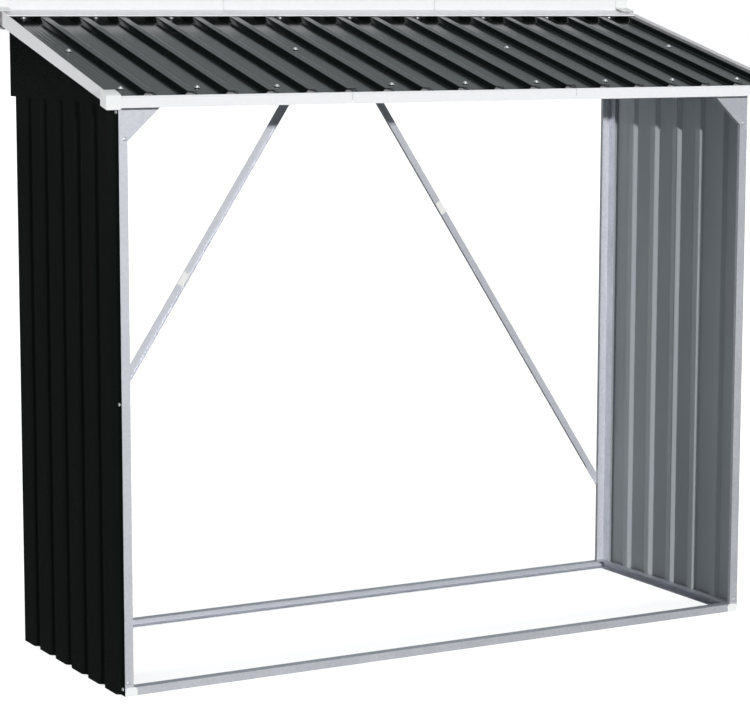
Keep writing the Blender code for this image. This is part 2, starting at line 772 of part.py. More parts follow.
def build():
    clear_scene()
    frame = roof_frame()
    screw = screw_mesh()
    cross_rail("base_rail_front", 0, BASE_RAIL_H, False)
    cross_rail("base_rail_rear", 0, BASE_RAIL_H, True)
    front_top = cross_rail(
        "top_rail_front", FRONT_TOP_Z - FRONT_TOP_RAIL_H, FRONT_TOP_RAIL_H, False
    )
    rear_top = cross_rail("top_rail_rear", REAR_TOP_Z - REAR_TOP_RAIL_H, REAR_TOP_RAIL_H, True)
    purlin(frame)
    roof_sheets(frame)
    cross_trims("fascia", fascia_line(), -SHEET_T, FASCIA_END)
    cross_trims("rear_trim", rear_trim_line(), SHEET_T, REAR_TRIM_END)
    for side, side_name in ((-1, "left"), (1, "right")):
        front = post(f"post_front_{side_name}", side, POST_FACE, False)
        rear = post(f"post_rear_{side_name}", side, REAR_POST_FACE, True)
        drill_posts(side, front, rear)
        side_rail(f"base_rail_{side_name}", side, 0, BASE_RAIL_H)
        side_rail(f"wall_rail_{side_name}", side, SIDE_RAIL_TOP_Z - SIDE_RAIL_H, SIDE_RAIL_H)
        sloped_rail(f"roof_rail_{side_name}", side, frame)
        wall_sheets(side, side_name)
        gable(side, side_name)
        rake_trim(side, side_name, frame)
        corner_cap(f"cap_front_{side_name}", front_cap_outline, CAP_WIDTH, side)
        corner_cap(f"cap_rear_{side_name}", rear_cap_outline, REAR_CAP_WIDTH, side)
        foot_cover(f"foot_cover_front_{side_name}", side, False)
        foot_cover(f"foot_cover_rear_{side_name}", side, True)
        gusset(side, side_name)
        brace(side, side_name)
        add_screws(side, side_name, screw)
        drill(front_top, f"{side_name}_gusset", [gusset_screw_points(side)[1]], "Y")
        drill(rear_top, f"{side_name}_brace", [brace_bolt_points(side)[1]], "Y")
    brace_label("label_left", -1, 0.804)
    brace_label("label_right", 1, 0.994)


build()
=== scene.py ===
# %% [markdown]
# # An open-fronted firewood shelter, piece by piece
# The real shelter is a frame of folded galvanised steel. Ribbed anthracite sheets close its two
# sides and its sloping roof, white folded trims cover the edges, and two flat braces lean
# together across the open back. This lesson first loads the measured frame, so every later piece
# can take its place from it instead of guessing one.

# %% Load the frame
import math

import bmesh
import bpy
from mathutils import Matrix, Vector


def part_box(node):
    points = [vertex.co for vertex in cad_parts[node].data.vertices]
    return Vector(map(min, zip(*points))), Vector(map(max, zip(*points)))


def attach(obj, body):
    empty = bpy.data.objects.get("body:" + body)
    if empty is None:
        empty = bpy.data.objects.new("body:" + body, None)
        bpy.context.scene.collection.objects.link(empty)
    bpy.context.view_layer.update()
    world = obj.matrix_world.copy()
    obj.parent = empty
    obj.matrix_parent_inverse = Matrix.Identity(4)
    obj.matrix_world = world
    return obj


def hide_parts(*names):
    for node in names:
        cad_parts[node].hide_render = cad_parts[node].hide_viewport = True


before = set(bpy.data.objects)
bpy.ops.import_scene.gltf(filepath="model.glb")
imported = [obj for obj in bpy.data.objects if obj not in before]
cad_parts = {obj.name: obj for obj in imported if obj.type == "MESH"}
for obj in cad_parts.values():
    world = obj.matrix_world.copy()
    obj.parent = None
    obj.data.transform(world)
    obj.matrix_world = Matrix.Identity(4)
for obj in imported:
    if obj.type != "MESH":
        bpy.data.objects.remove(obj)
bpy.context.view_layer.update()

scene = bpy.context.scene

# %% [markdown]
# ## Camera
# A long lens stands in front of the left corner, a little above the eaves, and looks slightly
# down. Depth of field and lens shift stay off, because other views reuse this camera. The three
# turns are written as directions, which is easier to read than a matrix of numbers.

# %% Place the camera
LENS = 121.3
FARTHEST = 400
EYE = Vector((-3.2214, -5.6700, 1.6246))
YAW, PITCH, ROLL = (math.radians(a) for a in (29.147, -7.807, 0.105))


def camera_turn(yaw, pitch, roll):
    """Rotation whose -Z looks along yaw and pitch, rolled about that line."""
    flat = math.cos(pitch)
    ahead = Vector((math.sin(yaw) * flat, math.cos(yaw) * flat, math.sin(pitch)))
    level = Vector((math.cos(yaw), -math.sin(yaw), 0))
    above = level.cross(ahead)
    right = math.cos(roll) * level + math.sin(roll) * above
    up = math.cos(roll) * above - math.sin(roll) * level
    return Matrix((right, up, -ahead)).transposed().to_4x4()


eye = bpy.data.objects.new("camera", bpy.data.cameras.new("camera"))
eye.data.lens = LENS
eye.data.clip_end = FARTHEST
eye.matrix_world = Matrix.Translation(EYE) @ camera_turn(YAW, PITCH, ROLL)
scene.collection.objects.link(eye)
scene.camera = eye
scene.view_settings.view_transform = "Standard"
print("camera", LENS, "mm, looking down", round(-math.degrees(PITCH), 1), "degrees")

# %% [markdown]
# ## Node helpers
# Every material below is a small graph of nodes. These helpers add a node with its settings and
# input values in one line, so a graph reads like a recipe. `wire` accepts either a socket, which
# it links, or a plain value, which it stores.

# %% Helpers that write node graphs
def wire(tree, socket, value):
    """Link a socket, or store a plain value on it."""
    if isinstance(value, bpy.types.NodeSocket):
        tree.links.new(value, socket)
    elif value is not None:
        socket.default_value = value


def add(tree, kind, inputs=None, **settings):
    """Add a node of a kind, with its settings, and its inputs by name or by number."""
    made = tree.nodes.new(kind)
    for name, value in settings.items():
        setattr(made, name, value)
    for name, value in (inputs or {}).items():
        wire(tree, made.inputs[name], value)
    return made


def maths(tree, operation, *values, clamp=False):
    """A Math node; returns its output socket."""
    inputs = dict(enumerate(values))
    return add(tree, "ShaderNodeMath", inputs, operation=operation, use_clamp=clamp).outputs[0]


def spread(tree, value, low, high, to_low=0.0, to_high=1.0, smooth=False):
    """A Map Range node; returns its output socket."""
    kind = "SMOOTHSTEP" if smooth else "LINEAR"
    ends = {"Value": value, "From Min": low, "From Max": high, "To Min": to_low, "To Max": to_high}
    return add(tree, "ShaderNodeMapRange", ends, interpolation_type=kind).outputs[0]


def dot(tree, vector, direction):
    """Dot product with a fixed direction; returns its output socket."""
    made = add(tree, "ShaderNodeVectorMath", {0: vector, 1: direction}, operation="DOT_PRODUCT")
    return made.outputs["Value"]


def blend_colour(tree, amount, first, second):
    """A colour Mix node; returns its output socket."""
    made = add(tree, "ShaderNodeMix", data_type="RGBA")
    wire(tree, made.inputs["Factor"], amount)
    for name, value in (("A", first), ("B", second)):
        socket = next(s for s in made.inputs if s.name == name and s.type == "RGBA")
        wire(tree, socket, (*value, 1) if isinstance(value, tuple) and len(value) == 3 else value)
    return next(s for s in made.outputs if s.type == "RGBA")


# %% [markdown]
# ## Light
# A large soft sky brightens everything a little, one low sun in front gives the trims their
# clean white, and two wide, weak fill lights open up the left side and the back without showing
# in reflections. Dark paint shows mostly what it reflects, so the sky is not even: it is bright
# above and to the right, dim in front, and nearly black to the left and behind, which is what
# keeps the left wall as dark as a glossy wall beside a black screen. One narrow bright strip in
# that dark part gives the bends of the wall a line of light.

# %% Sun and sky
SUN_TRAVEL = Vector((0.138, 0.983, -0.122))
SUN_STRENGTH = 2.32
SUN_SPREAD = math.radians(1.2)
SKY_COLOUR = (0.88, 0.965, 1.0, 1)
SKY_LEVEL = 0.25
SKY_RISE = 0.42
FRONT_SIDE = (0, -1, 0)
FRONT_REACH = (0.1, 0.9)
FRONT_LEVEL = 0.35
DARK_SIDE = (-0.62, 0.76, 0.20)
DARK_REACH = (0.43, 0.60)
DARK_LEVEL = 0.035
STRIP_SIDE = (-0.75, 0.66, 0.0)
STRIP_REACH = (0.978, 0.992)
STRIP_LEVEL = 1.8

SIDE_TRAVEL = Vector((0.97, -0.06, -0.22))
SIDE_STRENGTH = 1.25
BACK_TRAVEL = Vector((0.20, -0.91, -0.36))
BACK_STRENGTH = 0.60
FILL_SPREAD = math.radians(25)


def sunlight(name, travel, strength, angle):
    """A sun that shines along a direction."""
    made = bpy.data.objects.new(name, bpy.data.lights.new(name, "SUN"))
    made.data.energy = strength
    made.data.angle = angle
    made.rotation_euler = travel.to_track_quat("-Z", "Y").to_euler()
    scene.collection.objects.link(made)
    return made


sunlight("sun", SUN_TRAVEL, SUN_STRENGTH, SUN_SPREAD)
for name, travel, strength in (
    ("side fill", SIDE_TRAVEL, SIDE_STRENGTH),
    ("back fill", BACK_TRAVEL, BACK_STRENGTH),
):
    sunlight(name, travel, strength, FILL_SPREAD).visible_glossy = False

world = bpy.data.worlds.new("studio")
world.use_nodes = True
scene.world = world
sky = world.node_tree
sky.nodes.clear()
towards = add(sky, "ShaderNodeTexCoord").outputs["Generated"]
level = maths(sky, "MULTIPLY_ADD", dot(sky, towards, (0, 0, 1)), SKY_RISE, SKY_LEVEL)
front = spread(sky, dot(sky, towards, FRONT_SIDE), *FRONT_REACH, 1.0, FRONT_LEVEL, smooth=True)
shade = spread(sky, dot(sky, towards, DARK_SIDE), *DARK_REACH, 1.0, DARK_LEVEL, smooth=True)
level = maths(sky, "MULTIPLY", maths(sky, "MULTIPLY", level, front), shade)
strip = spread(sky, dot(sky, towards, STRIP_SIDE), *STRIP_REACH, 0.0, STRIP_LEVEL, smooth=True)
level = maths(sky, "ADD", level, strip)
seen = add(sky, "ShaderNodeLightPath").outputs["Is Camera Ray"]
soft = add(sky, "ShaderNodeBackground", {"Color": SKY_COLOUR, "Strength": level})
plain = add(sky, "ShaderNodeBackground", {"Color": (1, 1, 1, 1), "Strength": 1.0})
chosen = add(sky, "ShaderNodeMixShader", {0: seen, 1: soft.outputs[0], 2: plain.outputs[0]})
add(sky, "ShaderNodeOutputWorld", {"Surface": chosen.outputs[0]})
print("sun", SUN_STRENGTH, "from", tuple(round(-c, 2) for c in SUN_TRAVEL))

# %% [markdown]
# ## Floor
# The floor is a wide pale plane at ground height. It glows a little towards the camera, so it
# runs into the white behind it without a horizon line, and mirrors dark, so that the glossy
# walls do not pick up a white stripe along their lower edge.

# %% Pale floor
FLOOR_SIZE = 160.0
FLOOR_GLOW = 0.74
FLOOR_GREYS = ((0.80, 0.80, 0.80), (0.84, 0.84, 0.84))
MIRRORED_GREY = (0.03, 0.03, 0.03, 1)

plane = bpy.data.meshes.new("floor")
half = FLOOR_SIZE / 2
corners = [(-half, -half, 0), (half, -half, 0), (half, half, 0), (-half, half, 0)]
plane.from_pydata(corners, [], [(0, 1, 2, 3)])
floor = bpy.data.objects.new("floor", plane)
scene.collection.objects.link(floor)
pale = bpy.data.materials.new("pale_floor")
pale.use_nodes = True
tree = pale.node_tree
tree.nodes.clear()
path = add(tree, "ShaderNodeLightPath")
grain = add(tree, "ShaderNodeTexNoise", {"Scale": 3.0, "Detail": 3.0}).outputs["Fac"]
tint = blend_colour(tree, grain, *FLOOR_GREYS)
matt = add(tree, "ShaderNodeBsdfDiffuse", {"Color": tint})
glow = add(tree, "ShaderNodeEmission", {"Strength": FLOOR_GLOW})
lit = add(tree, "ShaderNodeAddShader", {0: matt.outputs[0], 1: glow.outputs[0]})
dim = add(tree, "ShaderNodeEmission", {"Color": MIRRORED_GREY, "Strength": 1.0})
view_mix = add(tree, "ShaderNodeMixShader", {
    0: path.outputs["Is Camera Ray"], 1: matt.outputs[0], 2: lit.outputs[0]})
both = add(tree, "ShaderNodeMixShader", {
    0: path.outputs["Is Glossy Ray"], 1: view_mix.outputs[0], 2: dim.outputs[0]})
add(tree, "ShaderNodeOutputMaterial", {"Surface": both.outputs[0]})
plane.materials.append(pale)
print("floor", FLOOR_SIZE, "m wide")

# %% [markdown]
# ## Effects that several finishes share
# Real sheet metal is never one flat colour. Four effects appear again and again here: zinc
# spangle, handling marks (smudges and fine scratches), dust that settles on faces that look up,
# and worn edges, which on the white trims serve instead as a painted highlight along the bends.
# Each is a node group with named sockets, built once and then placed in each material with its own
# amounts.

# %% A helper for node groups
def effect_group(name, inputs, outputs):
    """An empty shader group; returns it with its input and output nodes."""
    group = bpy.data.node_groups.new(name, "ShaderNodeTree")
    for label, value in inputs.items():
        made = group.interface.new_socket(label, in_out="INPUT", socket_type="NodeSocketFloat")
        made.default_value = value
    for label in outputs:
        group.interface.new_socket(label, in_out="OUTPUT", socket_type="NodeSocketFloat")
    return group, add(group, "NodeGroupInput"), add(group, "NodeGroupOutput")


def placed_coordinates(tree, scale=(1, 1, 1)):
    """Object coordinates through a Mapping node."""
    where = add(tree, "ShaderNodeTexCoord").outputs["Object"]
    return add(tree, "ShaderNodeMapping", {"Vector": where, "Scale": scale}).outputs[0]


def noise(tree, vector, scale, detail=2.0, rough=0.5):
    """A Noise Texture; returns its value."""
    inputs = {"Vector": vector, "Scale": scale, "Detail": detail, "Roughness": rough}
    return add(tree, "ShaderNodeTexNoise", inputs).outputs["Fac"]


# %% Zinc spangle
SPANGLE_BEND = 0.006
SPANGLE_SHARE, FINE_SHARE = 0.6, 0.8

SPANGLE, ends, out = effect_group(
    "zinc spangle", {"Size": 0.008, "Contrast": 1.0}, ("Tone", "Height"))
where = placed_coordinates(SPANGLE)
count = maths(SPANGLE, "DIVIDE", 1.0, ends.outputs["Size"])
bent = add(SPANGLE, "ShaderNodeTexNoise", {"Vector": where, "Scale": 60.0, "Detail": 2.0})
push = add(
    SPANGLE, "ShaderNodeVectorMath", {0: bent.outputs["Color"], "Scale": SPANGLE_BEND},
    operation="SCALE")
moved = add(SPANGLE, "ShaderNodeVectorMath", {0: where, 1: push.outputs[0]}, operation="ADD")
cells = add(SPANGLE, "ShaderNodeTexVoronoi", {
    "Vector": moved.outputs[0], "Scale": count, "Randomness": 1.0})
grey = add(SPANGLE, "ShaderNodeSeparateColor", {0: cells.outputs["Color"]}).outputs[0]
fine = noise(SPANGLE, where, 420.0, 3.0, 0.6)
grey = maths(SPANGLE, "MULTIPLY", grey, SPANGLE_SHARE)
mixed = maths(SPANGLE, "ADD", grey, maths(SPANGLE, "MULTIPLY", fine, FINE_SHARE))
centred = maths(SPANGLE, "SUBTRACT", mixed, (SPANGLE_SHARE + FINE_SHARE) / 2)
tone = maths(SPANGLE, "MULTIPLY_ADD", centred, ends.outputs["Contrast"], 0.5)
tone = maths(SPANGLE, "MAXIMUM", maths(SPANGLE, "MINIMUM", tone, 1.0), 0.0)
wire(SPANGLE, out.inputs["Tone"], tone)
wire(SPANGLE, out.inputs["Height"], maths(SPANGLE, "ADD", cells.outputs["Distance"], fine))
print("group", SPANGLE.name)

# %% Handling marks
SCRATCH_STRETCHES = ((3.0, 3.0, 90.0), (80.0, 5.0, 4.0), (5.0, 70.0, 7.0))
SCRATCH_WIDTH = 0.006

MARKS, ends, out = effect_group(
    "handling marks", {"Smudge Scale": 9.0, "Scratch Scale": 1.0}, ("Smudge", "Scratch"))
where = placed_coordinates(MARKS)
cloud = noise(MARKS, where, ends.outputs["Smudge Scale"], 5.0, 0.62)
wire(MARKS, out.inputs["Smudge"], spread(MARKS, cloud, 0.42, 0.68, smooth=True))
lines = []
for stretch in SCRATCH_STRETCHES:
    along = placed_coordinates(MARKS, stretch)
    hair = noise(MARKS, along, ends.outputs["Scratch Scale"], 2.0, 0.5)
    near = maths(MARKS, "ABSOLUTE", maths(MARKS, "SUBTRACT", hair, 0.5))
    lines.append(spread(MARKS, near, 0.0, SCRATCH_WIDTH, 1.0, 0.0))
patch = spread(MARKS, noise(MARKS, where, 14.0), 0.52, 0.62)
scratch = maths(MARKS, "MAXIMUM", lines[0], maths(MARKS, "MAXIMUM", lines[1], lines[2]))
wire(MARKS, out.inputs["Scratch"], maths(MARKS, "MULTIPLY", scratch, patch))
print("group", MARKS.name)

# %% Settled dust
DUST, ends, out = effect_group("settled dust", {"Scale": 40.0}, ("Dust",))
normal = add(DUST, "ShaderNodeNewGeometry").outputs["Normal"]
up = add(DUST, "ShaderNodeSeparateXYZ", {0: normal}).outputs["Z"]
level_face = spread(DUST, up, 0.35, 0.95, smooth=True)
where = placed_coordinates(DUST)
grit = spread(DUST, noise(DUST, where, ends.outputs["Scale"], 6.0, 0.7), 0.38, 0.72, smooth=True)
broad = spread(DUST, noise(DUST, where, 3.5, 3.0), 0.30, 0.70)
lying = maths(DUST, "MULTIPLY", level_face, maths(DUST, "MULTIPLY", grit, broad))
wire(DUST, out.inputs["Dust"], lying)
print("group", DUST.name)

# %% Worn edges, also used as a painted edge highlight on the white trims
EDGE_WEAR_AND_HIGHLIGHT, ends, out = effect_group("worn and highlighted edges", {"Reach": 0.06}, ("Edge",))
sharp = add(EDGE_WEAR_AND_HIGHLIGHT, "ShaderNodeNewGeometry").outputs["Pointiness"]
high = maths(EDGE_WEAR_AND_HIGHLIGHT, "ADD", 0.5, ends.outputs["Reach"])
edge = spread(EDGE_WEAR_AND_HIGHLIGHT, sharp, 0.505, high)
broken = spread(EDGE_WEAR_AND_HIGHLIGHT, noise(EDGE_WEAR_AND_HIGHLIGHT, placed_coordinates(EDGE_WEAR_AND_HIGHLIGHT), 85.0, 4.0, 0.7), 0.40, 0.62)
wire(EDGE_WEAR_AND_HIGHLIGHT, out.inputs["Edge"], maths(EDGE_WEAR_AND_HIGHLIGHT, "MULTIPLY", edge, broken))
print("group", EDGE_WEAR_AND_HIGHLIGHT.name)

# %% [markdown]
# ## Finishes
# Each finish starts from the same skeleton: a Principled BSDF with its uniform values on its own
# sockets, a colour that varies, a roughness that varies, and one Bump node. `finish` makes that
# skeleton and leaves the interesting part, which is how the effects are mixed, to each cell.

# %% The skeleton of a finish
def finish(name, metallic=0.0, **uniform):
    """A material with a Principled BSDF; returns the material, its tree and the shader."""
    made = bpy.data.materials.new(name)
    made.use_nodes = True
    nodes = made.node_tree
    nodes.nodes.clear()
    shader = add(nodes, "ShaderNodeBsdfPrincipled", {"Metallic": metallic})
    for label, value in uniform.items():
        shader.inputs[label.replace("_", " ")].default_value = value
    add(nodes, "ShaderNodeOutputMaterial", {"Surface": shader.outputs[0]})
    return made, nodes, shader


def effect(tree, group, **values):
    """Place an effect group with its own values."""
    made = add(tree, "ShaderNodeGroup", node_tree=group)
    for label, value in values.items():
        made.inputs[label.replace("_", " ")].default_value = value
    return made.outputs


def stained_or_highlighted(tree, colour, mask, amount, towards):
    """Pull a colour towards another one where a mask says so, by an amount."""
    return blend_colour(tree, maths(tree, "MULTIPLY", mask, amount), colour, towards)


def roughened(tree, rough, mask, amount):
    """Add to a roughness where a mask says so, by an amount."""
    return maths(tree, "ADD", rough, maths(tree, "MULTIPLY", mask, amount))


def surface(tree, shader, colour, roughness, height, depth, strength=1.0):
    """Wire colour, roughness and a bump of a real depth in metres."""
    wire(tree, shader.inputs["Base Color"], colour)
    wire(tree, shader.inputs["Roughness"], roughness)
    bump = add(tree, "ShaderNodeBump", {"Height": height, "Distance": depth, "Strength": strength})
    wire(tree, shader.inputs["Normal"], bump.outputs["Normal"])


# %% Galvanised steel
zinc, tree, shader = finish("galvanised_steel", metallic=0.72)
spangle = effect(tree, SPANGLE, Size=0.005, Contrast=0.55)
marks = effect(tree, MARKS, Smudge_Scale=11.0)
edge_wear_and_highlight = effect(tree, EDGE_WEAR_AND_HIGHLIGHT, Reach=0.05)
colour = blend_colour(tree, spangle["Tone"], (0.63, 0.65, 0.71), (0.81, 0.825, 0.875))
colour = stained_or_highlighted(tree, colour, marks["Smudge"], 0.25, (0.58, 0.59, 0.62))
colour = stained_or_highlighted(tree, colour, marks["Scratch"], 0.5, (0.86, 0.87, 0.90))
colour = stained_or_highlighted(tree, colour, edge_wear_and_highlight["Edge"], 0.3, (0.90, 0.91, 0.93))
rough = spread(tree, spangle["Tone"], 0.0, 1.0, 0.56, 0.40)
rough = roughened(tree, rough, marks["Smudge"], 0.07)
surface(tree, shader, colour, rough, spangle["Height"], 0.00012, 0.5)
print("finish", zinc.name)

# %% Anthracite coil coat
coat, tree, shader = finish("anthracite_coil_coat", Specular_IOR_Level=0.55)
marks = effect(tree, MARKS, Smudge_Scale=5.0)
dust = effect(tree, DUST, Scale=55.0)
edge_wear_and_highlight = effect(tree, EDGE_WEAR_AND_HIGHLIGHT, Reach=0.09)
where = placed_coordinates(tree)
patchy = noise(tree, where, 2.2, 4.0)
colour = blend_colour(tree, patchy, (0.0028, 0.0044, 0.0038), (0.0048, 0.0070, 0.0062))
colour = stained_or_highlighted(tree, colour, dust["Dust"], 0.022, (0.30, 0.30, 0.28))
colour = stained_or_highlighted(tree, colour, edge_wear_and_highlight["Edge"], 0.006, (0.32, 0.34, 0.35))
rough = spread(tree, patchy, 0.3, 0.7, 0.13, 0.17)
rough = roughened(tree, rough, marks["Smudge"], 0.03)
rough = roughened(tree, rough, dust["Dust"], 0.08)
peel = noise(tree, where, 900.0, 2.0)
sway = noise(tree, placed_coordinates(tree, (3.0, 1.2, 1.2)), 2.4, 1.0)
height = maths(tree, "ADD", maths(tree, "MULTIPLY", peel, 0.0005), sway)
surface(tree, shader, colour, rough, height, 0.0016, 0.7)
print("finish", coat.name)

# %% Grey backing coat
backing, tree, shader = finish("grey_backing_coat", Specular_IOR_Level=0.4)
marks = effect(tree, MARKS, Smudge_Scale=4.0)
edge_wear_and_highlight = effect(tree, EDGE_WEAR_AND_HIGHLIGHT, Reach=0.09)
where = placed_coordinates(tree)
cloudy = noise(tree, where, 3.0, 5.0)
colour = blend_colour(tree, cloudy, (0.306, 0.331, 0.353), (0.370, 0.396, 0.420))
colour = stained_or_highlighted(tree, colour, marks["Scratch"], 0.30, (0.42, 0.44, 0.45))
colour = stained_or_highlighted(tree, colour, edge_wear_and_highlight["Edge"], 0.25, (0.52, 0.53, 0.54))
rough = spread(tree, marks["Smudge"], 0.0, 1.0, 0.42, 0.54)
peel = noise(tree, where, 700.0, 3.0)
surface(tree, shader, colour, rough, peel, 0.00004, 0.6)
print("finish", backing.name)

# %% White coil coat
white, tree, shader = finish("white_coil_coat", Specular_IOR_Level=0.45)
marks = effect(tree, MARKS, Smudge_Scale=7.0)
dust = effect(tree, DUST, Scale=70.0)
edge_wear_and_highlight = effect(tree, EDGE_WEAR_AND_HIGHLIGHT, Reach=0.05)
where = placed_coordinates(tree)
cloudy = noise(tree, where, 4.0, 4.0)
colour = blend_colour(tree, cloudy, (0.835, 0.828, 0.845), (0.862, 0.855, 0.868))
colour = stained_or_highlighted(tree, colour, marks["Smudge"], 0.05, (0.72, 0.72, 0.73))
colour = stained_or_highlighted(tree, colour, dust["Dust"], 0.16, (0.58, 0.58, 0.56))
# Sharp edges are pulled towards a brighter white here: a painted highlight along the trims' bends,
# not wear.
colour = stained_or_highlighted(tree, colour, edge_wear_and_highlight["Edge"], 0.12, (0.95, 0.96, 0.96))
rough = spread(tree, marks["Smudge"], 0.0, 1.0, 0.34, 0.44)
peel = noise(tree, where, 800.0, 2.0)
surface(tree, shader, colour, rough, peel, 0.00003, 0.5)
print("finish", white.name)

# %% White moulded plastic
plastic, tree, shader = finish("white_plastic", Subsurface_Weight=0.04, Specular_IOR_Level=0.4)
marks = effect(tree, MARKS, Smudge_Scale=25.0)
dust = effect(tree, DUST, Scale=90.0)
where = placed_coordinates(tree)
cloudy = noise(tree, where, 18.0, 4.0)
colour = blend_colour(tree, cloudy, (0.855, 0.848, 0.832), (0.900, 0.892, 0.878))
colour = stained_or_highlighted(tree, colour, marks["Smudge"], 0.10, (0.72, 0.71, 0.68))
colour = stained_or_highlighted(tree, colour, dust["Dust"], 0.16, (0.55, 0.55, 0.52))
rough = spread(tree, marks["Smudge"], 0.0, 1.0, 0.46, 0.58)
grainy = noise(tree, where, 1500.0, 2.0)
surface(tree, shader, colour, rough, grainy, 0.00005, 0.7)
print("finish", plastic.name)

# %% Screw metal, rubber and label paper
bright, tree, shader = finish("zinc_plated_screw", metallic=0.75)
marks = effect(tree, MARKS, Smudge_Scale=220.0, Scratch_Scale=6.0)
where = placed_coordinates(tree)
cloudy = noise(tree, where, 160.0, 3.0)
colour = blend_colour(tree, cloudy, (0.76, 0.77, 0.78), (0.90, 0.905, 0.91))
colour = stained_or_highlighted(tree, colour, marks["Scratch"], 0.5, (0.95, 0.95, 0.95))
rough = spread(tree, marks["Smudge"], 0.0, 1.0, 0.36, 0.52)
surface(tree, shader, colour, rough, noise(tree, where, 900.0, 2.0), 0.00004, 0.5)

rubber, tree, shader = finish("washer_rubber")
where = placed_coordinates(tree)
cloudy = noise(tree, where, 200.0, 3.0)
colour = blend_colour(tree, cloudy, (0.012, 0.012, 0.012), (0.035, 0.035, 0.034))
rough = spread(tree, noise(tree, where, 300.0), 0.3, 0.7, 0.70, 0.86)
surface(tree, shader, colour, rough, noise(tree, where, 1200.0), 0.00005, 0.6)

paper, tree, shader = finish("label_paper")
where = placed_coordinates(tree)
cloudy = noise(tree, where, 90.0, 4.0)
colour = blend_colour(tree, cloudy, (0.80, 0.80, 0.775), (0.90, 0.90, 0.88))
rough = spread(tree, noise(tree, where, 220.0), 0.3, 0.7, 0.55, 0.72)
surface(tree, shader, colour, rough, noise(tree, where, 1600.0), 0.00003, 0.5)
print("finishes", bright.name, rubber.name, paper.name)

# %% [markdown]
# ## Folded steel with softened edges
# The frame's loose triangles are right in shape but perfectly sharp, and a real folded sheet
# catches light on its bends. `merged_copy` rebuilds the shape from its points and faces, joins
# the points and merges coplanar triangles, and `softened` gives the copy a Bevel modifier.
# Hardened normals keep the wide faces flat while the narrow bevels stay round. `baked` then
# turns the result into a plain mesh, because that is what the export keeps.

# %% Soften the edges of a folded piece
MERGE = 1e-5
FLAT_ANGLE = math.radians(1.5)
BEVEL_ANGLE = math.radians(25)


def baked(source, name):
    """The evaluated mesh of an object, as a new plain object; the source is removed."""
    graph = bpy.context.evaluated_depsgraph_get()
    mesh = bpy.data.meshes.new_from_object(source.evaluated_get(graph), depsgraph=graph)
    bpy.data.objects.remove(source)
    mesh.name = name
    made = bpy.data.objects.new(name, mesh)
    scene.collection.objects.link(made)
    return made


def merged_copy(node):
    """A CAD node's shape with its points joined and its flat faces whole."""
    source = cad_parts[node].data
    work = bmesh.new()
    points = [work.verts.new(vert.co) for vert in source.vertices]
    for face in source.polygons:
        work.faces.new([points[i] for i in face.vertices])
    bmesh.ops.remove_doubles(work, verts=work.verts, dist=MERGE)
    bmesh.ops.dissolve_limit(work, angle_limit=FLAT_ANGLE, verts=work.verts, edges=work.edges)
    for face in work.faces:
        face.smooth = True
    mesh = bpy.data.meshes.new(node)
    work.to_mesh(mesh)
    work.free()
    return mesh


def softened(node, name, material, radius, segments=2):
    """A copy of a CAD node with rounded edges."""
    mesh = merged_copy(node)
    draft = bpy.data.objects.new("draft", mesh)
    scene.collection.objects.link(draft)
    bevel = draft.modifiers.new("bevel", "BEVEL")
    bevel.width = radius
    bevel.segments = segments
    bevel.limit_method = "ANGLE"
    bevel.angle_limit = BEVEL_ANGLE
    bevel.harden_normals = True
    bevel.use_clamp_overlap = True
    made = baked(draft, name)
    made.data.materials.clear()
    made.data.materials.append(material)
    return made


def hand_over(piece, slot, *nodes):
    """Hang a finished piece on the root body and hide the nodes it stands for; slot is not used.
    """
    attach(piece, "root")
    if nodes:
        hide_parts(*nodes)
    return piece


# %% Frame members
FRAME_BEVEL = 0.00034
SIDES = ("left", "right")

frame_nodes = ["top_rail_front", "top_rail_rear", "roof_purlin"]
frame_nodes += [f"base_rail_{place}" for place in ("front", "rear", *SIDES)]
frame_nodes += [f"post_{row}_{side}" for row in ("front", "rear") for side in SIDES]
for kind in ("roof_rail", "wall_rail", "gusset", "brace"):
    frame_nodes += [f"{kind}_{side}" for side in SIDES]
for node in frame_nodes:
    hand_over(softened(node, f"{node}_folded", zinc, FRAME_BEVEL), "galvanised", node)
print(len(frame_nodes), "folded frame pieces")

# %% [markdown]
# ## White trims, gables and plastic caps
# The trims are thinner sheet than the frame, so their bends are tighter. The corner caps and
# foot covers are moulded, and moulded plastic has generous round edges. The gables are plain
# flat panels in the wall's dark coat.

# %% Trims, gables, caps and covers
TRIM_BEVEL = 0.0002
CAP_BEVEL = 0.0009
LABEL_BEVEL = 0.0001

trim_nodes = []
for kind in ("fascia", "rear_trim"):
    trim_nodes += [f"{kind}_{place}" for place in ("left", "middle", "right")]
trim_nodes += [f"rake_trim_{side}" for side in SIDES]
for node in trim_nodes:
    hand_over(softened(node, f"{node}_folded", white, TRIM_BEVEL), "white_trim", node)

cover_nodes = []
for kind in ("cap", "foot_cover"):
    cover_nodes += [f"{kind}_{row}_{side}" for row in ("front", "rear") for side in SIDES]
for node in cover_nodes:
    hand_over(softened(node, f"{node}_moulded", plastic, CAP_BEVEL, 3), "white_plastic", node)

for side in SIDES:
    node = f"gable_panel_{side}"
    hand_over(softened(node, f"{node}_sheet", coat, TRIM_BEVEL), "coated_sheet", node)
    node = f"label_{side}"
    hand_over(softened(node, f"{node}_blank", paper, LABEL_BEVEL, 1), "label_paper", node)
print(len(trim_nodes), "trims,", len(cover_nodes), "moulded covers")

# %% [markdown]
# ## Ribbed sheets by rule
# A ribbed sheet is one rule repeated: a flat, a sloping web, a crest and a web down again, every
# so many millimetres. That is ideal for Geometry Nodes. The tree bends a fine grid by that rule,
# lifts the last rib where one sheet laps over its neighbour, presses a few fine beads into one
# flat, adds the very slight waviness that rolled sheet has, and gives the surface its thickness.
# Named inputs hold every size, so the same tree makes the three roof sheets and the four wall
# sheets.

